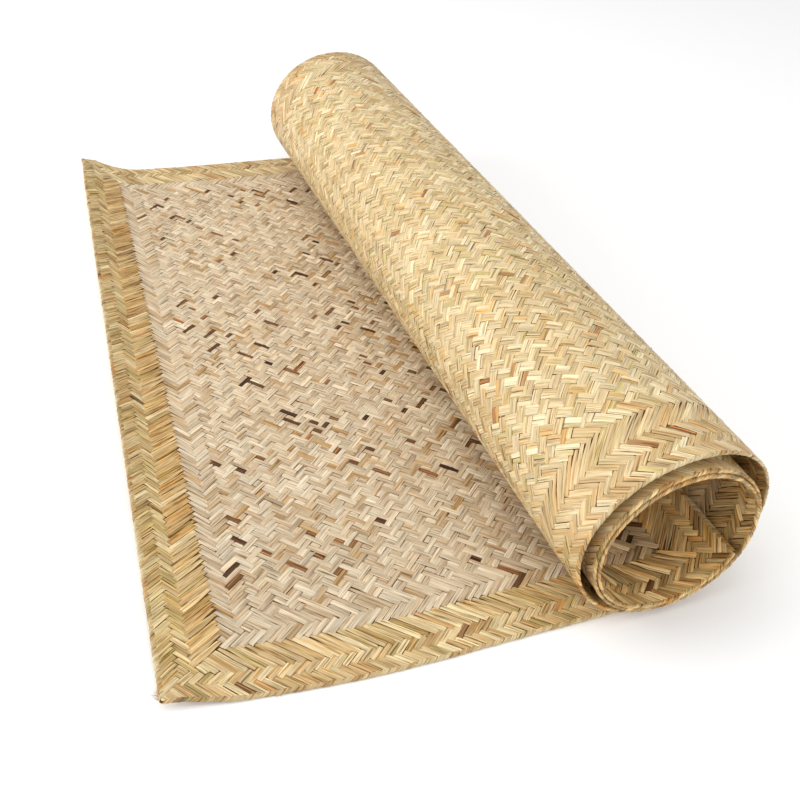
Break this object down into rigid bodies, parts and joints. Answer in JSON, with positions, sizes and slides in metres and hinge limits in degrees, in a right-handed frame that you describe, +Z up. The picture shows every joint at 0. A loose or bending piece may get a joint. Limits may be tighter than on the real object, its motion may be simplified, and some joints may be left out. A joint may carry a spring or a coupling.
{
  "type": "reed mat",
  "caption": "Plaited reed floor mat, partly rolled up: one end lies open with its short edge curling up, and the rest forms a loose, hollow roll.",
  "frame": {"origin": "the middle of the footprint, on the floor under the mat", "axes": "+Y runs along the roll's axis, away from its front end; +X runs across the roll, away from the open end of the mat; +Z is up"},
  "size_m": [0.5452, 1.052, 0.1811],
  "materials": {
    "reed": "dry plaited reed strips, satin on the skin side and matt on the inner side"
  },
  "bodies": {
    "root": {"reed_mat": "reed"}
  },
  "joints": []
}
